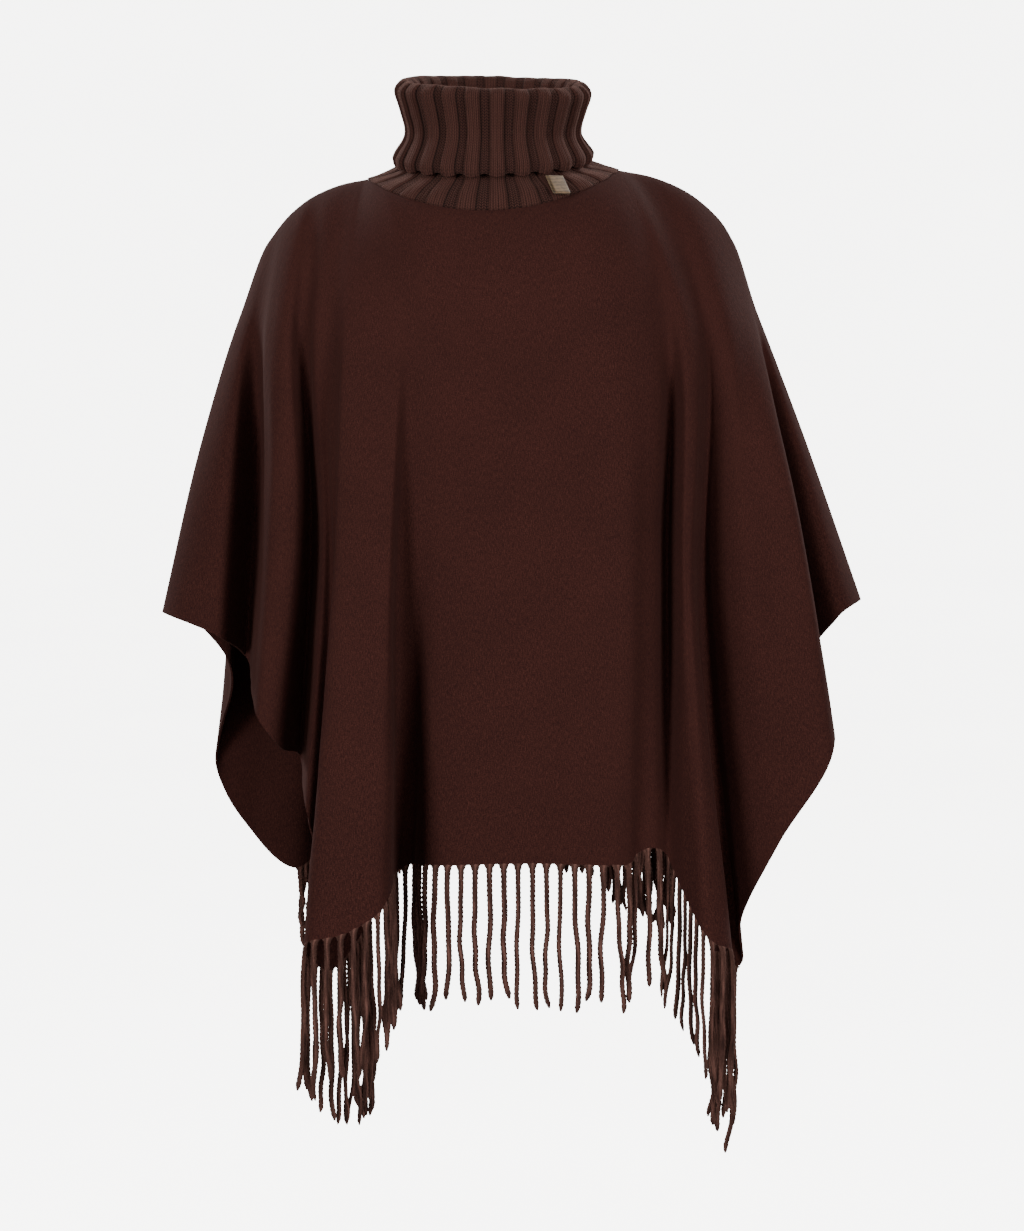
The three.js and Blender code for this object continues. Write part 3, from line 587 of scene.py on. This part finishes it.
def makeCollar():
    rings = [dict(zip(ringColumns, row)) for row in collarRings]
    count = knit["ribs"] * knit["columns"]
    place = np.arange(count) / knit["columns"]  # counted in ribs, from near the front's middle
    angle = (place + knit["turn"]) / knit["ribs"] * 2 * math.pi
    share = place % 1
    band, bandEdge = knit["band"], knit["bandEdge"]
    raised = smoothStep(share / bandEdge) * smoothStep((band - share) / bandEdge)
    wales = np.abs(np.sin(math.pi * share / band * knit["wales"])) * (share < band)
    purl = knit["purlHigh"] * np.abs(np.sin(math.pi * (share - band) / (1 - band) * 2)) * (share >= band)
    profile = raised * knit["raised"] + (wales + purl) * knit["waleHigh"]
    ovals = [ovalPoints(angle, ring) for ring in rings]
    ribbed = np.array([ring["ribbed"] for ring in rings], float)
    total = len(rings)
    loop, proud, crimp = [], [], []
    for n in range(total):
        p0, p1, p2, p3 = (ovals[(n + k) % total] for k in (-1, 0, 1, 2))
        gap = np.linalg.norm(p2 - p1, axis=1).max()
        rows = max(2, round(gap / knit["step"]))
        for w in np.arange(rows) / rows:
            loop.append(spanPoint(p0, p1, p2, p3, w))
            proud.append(mix(ribbed[n], ribbed[(n + 1) % total], smoothStep(w)))
            near = n + w - knit["edgeRing"]
            crimp.append(math.exp(-(near / knit["crimpRings"]) ** 2))
    loop, proud, crimp = np.array(loop), np.array(proud), np.array(crimp)
    out = np.stack([np.sin(angle) / knit["oval"], -np.cos(angle), np.zeros(count)], axis=1)
    out /= np.linalg.norm(out, axis=1, keepdims=True)
    loop += out[None] * (proud[:, None] * profile[None, :])[..., None]
    # The free edge is crimped by the ribs, with a small tooth at the foot of each wale
    ripple = np.cos(2 * math.pi * (share - band / 2)) + 0.8 * (wales - 0.6)
    loop[..., 2] += knit["lift"] - knit["crimp"] * crimp[:, None] * ripple[None, :]
    loop += out[None] * (knit["crimpOut"] * crimp[:, None] * ripple[None, :])[..., None]
    # Worn knit is a little uneven, most of all round its rim
    waverRise = knit["waverFull"] - knit["waverFrom"]
    for row in loop:
        for k in range(count):
            spot = Vector(row[k]) / knit["waverSize"]
            sway = knit["waver"] * smoothStep((row[k, 2] - knit["waverFrom"]) / waverRise)
            row[k] += out[k] * sway * noise.noise(spot)
            row[k, 2] += sway * noise.noise(spot * 1.7 + Vector((0, 0, 9)))
    rows = len(loop)
    front = np.linalg.norm(np.diff(np.vstack([loop[:, 0], loop[:1, 0]]), axis=0), axis=1)
    v = np.concatenate([[0], np.cumsum(front)]) * mm
    u = np.arange(count + 1) / knit["columns"]
    number = np.arange(rows * count).reshape(rows, count)
    nextRow, nextColumn = np.roll(number, -1, axis=0), np.roll(number, -1, axis=1)
    both = np.roll(nextRow, -1, axis=1)
    faces = np.stack([a.ravel() for a in (number, nextColumn, both, nextRow)], axis=1)
    rowIndex, columnIndex = np.divmod(np.arange(rows * count), count)
    quad = ((0, 0), (1, 0), (1, 1), (0, 1))
    corners = np.stack([np.stack([u[columnIndex + a], v[rowIndex + b]], axis=1) for a, b in quad], axis=1)
    piece = meshPiece("ribbedCollar", loop.reshape(-1, 3), faces, corners.reshape(-1, 2))
    smooth(piece, 80)
    return piece


collar = makeCollar()
print("collar made", len(collar.data.polygons))


# The small folded ribbon under the turnover's edge, bare
tab = {
    "width": 16.5, "height": 17, "thickness": 0.95, "gap": 3.2, "neckAngle": 36,
    "lean": -3, "flare": 16.5, "topZ": -3, "clear": 4, "cupped": 0.25, "softEdge": 0.2,
}


def makeTab():
    outside = tab["gap"] / 2 + tab["thickness"]
    radius = outside - tab["thickness"] / 2
    straight = tab["height"] - outside
    bpy.ops.object.select_all(action="DESELECT")
    bpy.ops.mesh.primitive_grid_add(x_subdivisions=14, y_subdivisions=48, size=1)
    piece = bpy.context.object
    piece.name = piece.data.name = "ribbonTab"
    angle = math.radians(tab["neckAngle"])
    edge = ovalPoints(np.array([angle]), dict(zip(ringColumns, collarRings[knit["edgeRing"]])))[0]
    out = np.array([math.sin(angle), -math.cos(angle), 0])
    along = np.array([math.cos(angle), math.sin(angle), 0])
    up = np.array([0, 0, 1.0]) - along * tab["lean"] / tab["height"] - out * tab["flare"] / tab["height"]
    start = edge + out * tab["clear"]
    start[2] = tab["topZ"]
    whole = 2 * straight + math.pi * radius
    for vertex in piece.data.vertices:
        s = (vertex.co.y + 0.5) * whole  # down the back, round the fold and up the front
        if s < straight:
            across, height = outside - radius, -s
        elif s < straight + math.pi * radius:
            around = (s - straight) / radius
            across, height = outside - radius * math.cos(around), -straight - radius * math.sin(around)
        else:
            across, height = outside + radius, s - whole
        side = vertex.co.x * tab["width"]
        across += tab["cupped"] * math.cos(side / tab["width"] * 3.1)
        vertex.co = Vector((start + out * across + up * height + along * side) * mm)
    selectOnly(piece)
    solid = piece.modifiers.new("thickness", "SOLIDIFY")
    solid.thickness = tab["thickness"] * mm
    solid.offset = 0
    bpy.ops.object.modifier_apply(modifier=solid.name)
    bevel = piece.modifiers.new("soft edge", "BEVEL")
    bevel.width, bevel.segments, bevel.limit_method = tab["softEdge"] * mm, 2, "ANGLE"
    bpy.ops.object.modifier_apply(modifier=bevel.name)
    bpy.ops.object.mode_set(mode="EDIT")
    bpy.ops.mesh.select_all(action="SELECT")
    bpy.ops.mesh.normals_make_consistent(inside=False)
    bpy.ops.object.mode_set(mode="OBJECT")
    smooth(piece, 40)
    return piece


ribbonTab = makeTab()
print("tab made")


# Brushed wool cloth: spun from brown fibres of several shades, woven, then brushed and pressed.
# The eye sees a matt dark brown with a fine rusty fleck and a soft bloom where it turns away
wool = {
    "shade": "#260f0d", "body": "#361915", "light": "#41211b", "fleck": "#4f2b24",
    "fleckSize": 0.95, "hairSize": 0.6, "hairLength": 4.0, "lump": 9, "mottle": 60,
    "bloom": 0.09, "bloomColour": "#b06c58", "bloomRough": 0.35, "rough": 0.95, "bump": 0.35,
}


def woolMaterial(name, look):
    material, tree = emptyMaterial(name)
    place = addNode(tree, "UVMap", {"uv_map": "lay"})
    laid = {"Vector": (place, "UV")}
    fleckScale, lumpScale, mottleScale = (1 / (look[key] * mm) for key in ("fleckSize", "lump", "mottle"))
    fleck = addNode(tree, "TexNoise", {"Scale": fleckScale, "Detail": 3.0, "Roughness": 0.62}, laid)
    hairScale = (1 / (look["hairSize"] * mm), 1 / (look["hairLength"] * mm), 1)
    stretch = addNode(tree, "Mapping", {"Scale": hairScale}, laid)
    hair = addNode(tree, "TexNoise", {"Scale": 1.0, "Detail": 2.0, "Distortion": 0.6},
                   {"Vector": (stretch, "Vector")})
    lump = addNode(tree, "TexNoise", {"Scale": lumpScale, "Detail": 2.0}, laid)
    mottle = addNode(tree, "TexNoise", {"Scale": mottleScale, "Detail": 2.0}, laid)
    blend = addNode(tree, "Mix", {"data_type": "FLOAT", 0: 0.45}, {2: (fleck, "Fac"), 3: (hair, "Fac")})
    ramp = addNode(tree, "ValToRGB", None, {"Fac": (blend, 0)})
    setRamp(ramp, [(0.36, look["shade"]), (0.49, look["body"]), (0.58, look["light"]), (0.68, look["fleck"])])
    level = addNode(tree, "MapRange", {"From Min": 0.3, "From Max": 0.7, "To Min": 0.94, "To Max": 1.06},
                    {"Value": (mottle, "Fac")})
    tint = addNode(tree, "Mix", {"data_type": "RGBA", "blend_type": "MULTIPLY", 0: 1.0},
                   {6: (ramp, "Color"), 7: (level, "Result")})
    fine = addNode(tree, "Bump", {"Strength": look["bump"], "Distance": 0.5 * mm}, {"Height": (blend, 0)})
    soft = addNode(tree, "Bump", {"Strength": 0.35, "Distance": 1.1 * mm},
                   {"Height": (lump, "Fac"), "Normal": (fine, "Normal")})
    shader = addNode(tree, "BsdfPrincipled", {
        "Roughness": look["rough"], "IOR": 1.5, "Specular IOR Level": 0.18,
        "Sheen Weight": look["bloom"], "Sheen Roughness": look["bloomRough"],
        "Sheen Tint": hexColour(look["bloomColour"]),
    }, {"Base Color": (tint, 2), "Normal": (soft, "Normal")})
    addNode(tree, "OutputMaterial", None, {"Surface": (shader, "BSDF")})
    return material


# Rib knit in the same wool: raised bands of four plain wales, with two sunken ones between two bands.
# The eye sees columns of small V stitches with dark lines between them. Those dark lines, the sunken grooves
# and both sides of each band are darkened with painted shade, and the stitch legs are lightened as a painted
# highlight
stitch = {
    "gap": "#120706", "body": "#2f1a16", "light": "#50312a", "rough": 0.93, "bump": 0.8,
    "bloom": 0.26, "bloomColour": "#c9988a", "slant": 0.95, "hairSize": 0.5, "bandFlat": 0.6,
    # The last two are painted shade: how light the sunken grooves stay, and how light the line along each
    # band's sides gets
    "groove": 0.92, "bandSideShade": 0.42,
}


def knitMaterial(name, look):
    material, tree = emptyMaterial(name)
    place = addNode(tree, "UVMap", {"uv_map": "lay"})
    apart = addNode(tree, "SeparateXYZ", None, {"Vector": (place, "UV")})
    waleWide = knit["band"] / knit["wales"]
    inRib = addNode(tree, "Math", {"operation": "FRACT"}, {0: (apart, "X")})
    counted = addNode(tree, "Math", {"operation": "DIVIDE", 1: waleWide}, {0: (inRib, 0)})
    inWale = addNode(tree, "Math", {"operation": "FRACT"}, {0: (counted, 0)})
    fromMiddle = addNode(tree, "Math", {"operation": "SUBTRACT", 1: 0.5}, {0: (inWale, 0)})
    aside = addNode(tree, "Math", {"operation": "ABSOLUTE"}, {0: (fromMiddle, 0)})
    slanted = addNode(tree, "Math", {"operation": "MULTIPLY", 1: look["slant"] * 2}, {0: (aside, 0)})
    rows = addNode(tree, "Math", {"operation": "DIVIDE", 1: knit["course"] * mm}, {0: (apart, "Y")})
    phase = addNode(tree, "Math", {"operation": "ADD"}, {0: (rows, 0), 1: (slanted, 0)})
    angle = addNode(tree, "Math", {"operation": "MULTIPLY", 1: 2 * math.pi}, {0: (phase, 0)})
    wave = addNode(tree, "Math", {"operation": "SINE"}, {0: (angle, 0)})
    # On the bands the wales' long lines lead, and in the sunken grooves the small stitches do
    onBand = addNode(tree, "MapRange", {"From Min": knit["band"] + 0.02, "From Max": knit["band"] - 0.04},
                     {"Value": (inRib, 0)})
    flat = addNode(tree, "Math", {"operation": "MULTIPLY", 1: look["bandFlat"]}, {0: (onBand, "Result")})
    legs = addNode(tree, "MapRange", {"From Min": -1.0, "From Max": 0.6, "To Max": 1.0},
                   {"Value": (wave, 0), "To Min": (flat, 0)})
    # Each leg is full beside the wale's middle and sinks at the middle and at the wale's sides
    legPlace = addNode(tree, "MapRange", {"From Min": 0.0, "From Max": 0.16, "To Min": 0.35, "To Max": 1.0},
                       {"Value": (aside, 0)})
    waleSide = addNode(tree, "MapRange", {"From Min": 0.5, "From Max": 0.36, "To Min": 0.0, "To Max": 1.0},
                       {"Value": (aside, 0)})
    body = addNode(tree, "Math", {"operation": "MULTIPLY"},
                   {0: (legPlace, "Result"), 1: (waleSide, "Result")})
    height = addNode(tree, "Math", {"operation": "MULTIPLY"}, {0: (body, 0), 1: (legs, "Result")})
    metres = addNode(tree, "TexCoord")
    fuzz = addNode(tree, "TexNoise", {"Scale": 1 / (look["hairSize"] * 2 * mm), "Detail": 3.0},
                   {"Vector": (metres, "Object")})
    rough = addNode(tree, "Mix", {"data_type": "FLOAT", 0: 0.35}, {2: (height, 0), 3: (fuzz, "Fac")})
    # Painted shade and highlight: mostly by the stitch height, with some fuzz, the low places between the
    # legs and at the wales' sides take the dark gap colour and the legs' tops the light one
    ramp = addNode(tree, "ValToRGB", None, {"Fac": (rough, 0)})
    setRamp(ramp, [(0.12, look["gap"]), (0.38, look["body"]), (0.85, look["light"])])
    # Painted shade in the sunken grooves: their colour is multiplied down there
    depth = addNode(tree, "MapRange", {"To Min": look["groove"], "To Max": 1.0},
                    {"Value": (onBand, "Result")})
    # A line of painted shade runs along both sides of each band, where the knit turns down into the sunken
    # wales
    toSide = addNode(tree, "Math", {"operation": "PINGPONG", 1: knit["band"] / 2}, {0: (inRib, 0)})
    pastBand = addNode(tree, "Math", {"operation": "SUBTRACT", 1: knit["band"]}, {0: (inRib, 0)})
    farSide = addNode(tree, "Math", {"operation": "ABSOLUTE"}, {0: (pastBand, 0)})
    nearest = addNode(tree, "Math", {"operation": "MINIMUM"}, {0: (toSide, 0), 1: (farSide, 0)})
    line = addNode(tree, "MapRange", {"From Max": 0.075, "To Min": look["bandSideShade"], "To Max": 1.0},
                   {"Value": (nearest, 0)})
    # The grooves' painted shade and the band sides' painted shade, together
    grooveAndSideShade = addNode(tree, "Math", {"operation": "MULTIPLY"}, {0: (depth, "Result"), 1: (line, "Result")})
    tint = addNode(tree, "Mix", {"data_type": "RGBA", "blend_type": "MULTIPLY", 0: 1.0},
                   {6: (ramp, "Color"), 7: (grooveAndSideShade, 0)})
    bump = addNode(tree, "Bump", {"Strength": look["bump"], "Distance": 0.9 * mm}, {"Height": (rough, 0)})
    shader = addNode(tree, "BsdfPrincipled", {
        "Roughness": look["rough"], "IOR": 1.5, "Specular IOR Level": 0.15,
        "Sheen Weight": look["bloom"], "Sheen Roughness": 0.45, "Sheen Tint": hexColour(look["bloomColour"]),
    }, {"Base Color": (tint, 2), "Normal": (bump, "Normal")})
    addNode(tree, "OutputMaterial", None, {"Surface": (shader, "BSDF")})
    return material


# Two-ply wool yarn, twisted and fulled. The eye sees slanting plies with a hairy, matt surface
yarn = {
    "dark": "#2d1a16", "body": "#4d322b", "light": "#755047", "hairSize": 0.7, "rough": 0.95, "bump": 0.5,
    "bloom": 0.08, "bloomColour": "#a8705c", "streaks": 7, "streakLength": 26, "slowSize": 14,
}


def yarnMaterial(name, look):
    material, tree = emptyMaterial(name)
    metres = addNode(tree, "TexCoord")
    hair = addNode(tree, "TexNoise", {"Scale": 1 / (look["hairSize"] * mm), "Detail": 2.5, "Roughness": 0.6},
                   {"Vector": (metres, "Object")})
    slow = addNode(tree, "TexNoise", {"Scale": 1 / (look["slowSize"] * mm), "Detail": 1.0},
                   {"Vector": (metres, "Object")})
    some = addNode(tree, "Mix", {"data_type": "FLOAT", 0: 0.3}, {2: (hair, "Fac"), 3: (slow, "Fac")})
    along = addNode(tree, "UVMap", {"uv_map": "lay"})
    streakScale = (look["streaks"], 1 / (look["streakLength"] * mm), 1)
    drawn = addNode(tree, "Mapping", {"Scale": streakScale}, {"Vector": (along, "UV")})
    streak = addNode(tree, "TexNoise", {"Scale": 1.0, "Detail": 1.5, "Distortion": 0.4},
                     {"Vector": (drawn, "Vector")})
    both = addNode(tree, "Mix", {"data_type": "FLOAT", 0: 0.55}, {2: (some, 0), 3: (streak, "Fac")})
    ramp = addNode(tree, "ValToRGB", None, {"Fac": (both, 0)})
    setRamp(ramp, [(0.36, look["dark"]), (0.5, look["body"]), (0.66, look["light"])])
    bump = addNode(tree, "Bump", {"Strength": look["bump"], "Distance": 0.4 * mm}, {"Height": (hair, "Fac")})
    shader = addNode(tree, "BsdfPrincipled", {
        "Roughness": look["rough"], "IOR": 1.5, "Specular IOR Level": 0.18,
        "Sheen Weight": look["bloom"], "Sheen Roughness": 0.45, "Sheen Tint": hexColour(look["bloomColour"]),
    }, {"Base Color": (ramp, "Color"), "Normal": (bump, "Normal")})
    addNode(tree, "OutputMaterial", None, {"Surface": (shader, "BSDF")})
    return material


# Woven satin ribbon in tan: fine threads, drawn coarser than life so that they show, with a faint gloss
ribbon = {"thread": 0.7, "dark": "#2f2115", "light": "#8e7150", "rough": 0.55}


def ribbonMaterial(name, look):
    material, tree = emptyMaterial(name)
    metres = addNode(tree, "TexCoord")
    lines = addNode(tree, "TexWave", {
        "bands_direction": "Z", "Scale": 1 / (look["thread"] * mm * 6.28),
        "Distortion": 0.8, "Detail": 1.0, "Detail Scale": 2.0,
    }, {"Vector": (metres, "Object")})
    worn = addNode(tree, "TexNoise", {"Scale": 1 / (4 * mm), "Detail": 2.0}, {"Vector": (metres, "Object")})
    both = addNode(tree, "Mix", {"data_type": "FLOAT", 0: 0.5}, {2: (lines, "Fac"), 3: (worn, "Fac")})
    ramp = addNode(tree, "ValToRGB", None, {"Fac": (both, 0)})
    setRamp(ramp, [(0.25, look["dark"]), (0.7, look["light"])])
    bump = addNode(tree, "Bump", {"Strength": 0.4, "Distance": 0.2 * mm}, {"Height": (lines, "Fac")})
    shader = addNode(tree, "BsdfPrincipled", {"Roughness": look["rough"], "IOR": 1.5, "Sheen Weight": 0.2},
                     {"Base Color": (ramp, "Color"), "Normal": (bump, "Normal")})
    addNode(tree, "OutputMaterial", None, {"Surface": (shader, "BSDF")})
    return material


brushedWool = woolMaterial("brushedWool", wool)
ribKnit = knitMaterial("ribKnitWool", stitch)
twistedYarn = yarnMaterial("twistedWoolYarn", yarn)
satinRibbon = ribbonMaterial("satinRibbon", ribbon)


def dress(piece, material, slotName, *nodes):
    piece.data.materials.clear()
    piece.data.materials.append(material)
    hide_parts(*nodes)
    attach(piece, "root")


for name, panel in panels.items():
    dress(clothPieces[name], brushedWool, "wool", name)
    dress(fringePieces[name], twistedYarn, "yarn", "fringe_" + name)
dress(collar, ribKnit, "knit", "collar")
dress(ribbonTab, satinRibbon, "ribbon", "tab")
print("materials on")


# A pale cove: a floor well below the hem that turns up into walls far away. It glows like lit paper but casts
# no light on the wool. Big soft lamps stand at both sides in front and behind, so deep folds stay dark
studio = {
    "floorZ": -1.45, "reach": 14, "flatness": 0.02, "glow": 7.0, "paper": "#f4f3f1", "paperShade": "#f1f0ee",
    "air": 0.17, "lampTarget": (0, 0, -0.35),
    "lamps": {
        "left": {"place": (-2.5, -3.2, 0.5), "size": 1.3, "power": 104},
        "right": {"place": (2.5, -3.2, 0.4), "size": 1.3, "power": 97},
        "fill": {"place": (0.0, -3.6, 1.9), "size": 1.2, "power": 24},
        "rearLeft": {"place": (-2.7, 2.6, 1.8), "size": 1.2, "power": 125},
        "rearRight": {"place": (2.7, 2.6, 1.8), "size": 1.2, "power": 125},
    },
}
bpy.ops.object.select_all(action="DESELECT")
bpy.ops.mesh.primitive_uv_sphere_add(segments=64, ring_count=48, radius=studio["reach"])
cove = bpy.context.object
cove.name = "studioCove"
for vertex in cove.data.vertices:
    low = studio["floorZ"] - vertex.co.z
    if low > 0:
        vertex.co.z = studio["floorZ"] - studio["flatness"] * low
bpy.ops.object.mode_set(mode="EDIT")
bpy.ops.mesh.select_all(action="SELECT")
bpy.ops.mesh.flip_normals()
bpy.ops.object.mode_set(mode="OBJECT")
smooth(cove, 60)
cove.visible_diffuse = False
cove.visible_glossy = False
cove.visible_shadow = False
paper, paperTree = emptyMaterial("mattPaper")
paperGrain = addNode(paperTree, "TexNoise", {"Scale": 30.0, "Detail": 2.0})
paperRamp = addNode(paperTree, "ValToRGB", None, {"Fac": (paperGrain, "Fac")})
setRamp(paperRamp, [(0.3, studio["paperShade"]), (0.7, studio["paper"])])
paperShader = addNode(paperTree, "BsdfPrincipled", {
    "Roughness": 0.95, "Specular IOR Level": 0.1, "Emission Strength": studio["glow"],
}, {"Base Color": (paperRamp, "Color"), "Emission Color": (paperRamp, "Color")})
addNode(paperTree, "OutputMaterial", None, {"Surface": (paperShader, "BSDF")})
cove.data.materials.append(paper)

world = bpy.data.worlds.new("softAir")
bpy.context.scene.world = world
world.use_nodes = True
background = world.node_tree.nodes["Background"]
background.inputs["Color"].default_value = (1, 1, 1, 1)
background.inputs["Strength"].default_value = studio["air"]

for lampName, lamp in studio["lamps"].items():
    bpy.ops.object.light_add(type="AREA", location=lamp["place"])
    light = bpy.context.object
    light.name = lampName + "Light"
    light.data.size = lamp["size"]
    light.data.energy = lamp["power"]
    light.visible_camera = False
    aim = Vector(studio["lampTarget"]) - Vector(lamp["place"])
    light.rotation_euler = aim.to_track_quat("-Z", "Y").to_euler()
print("studio ready")
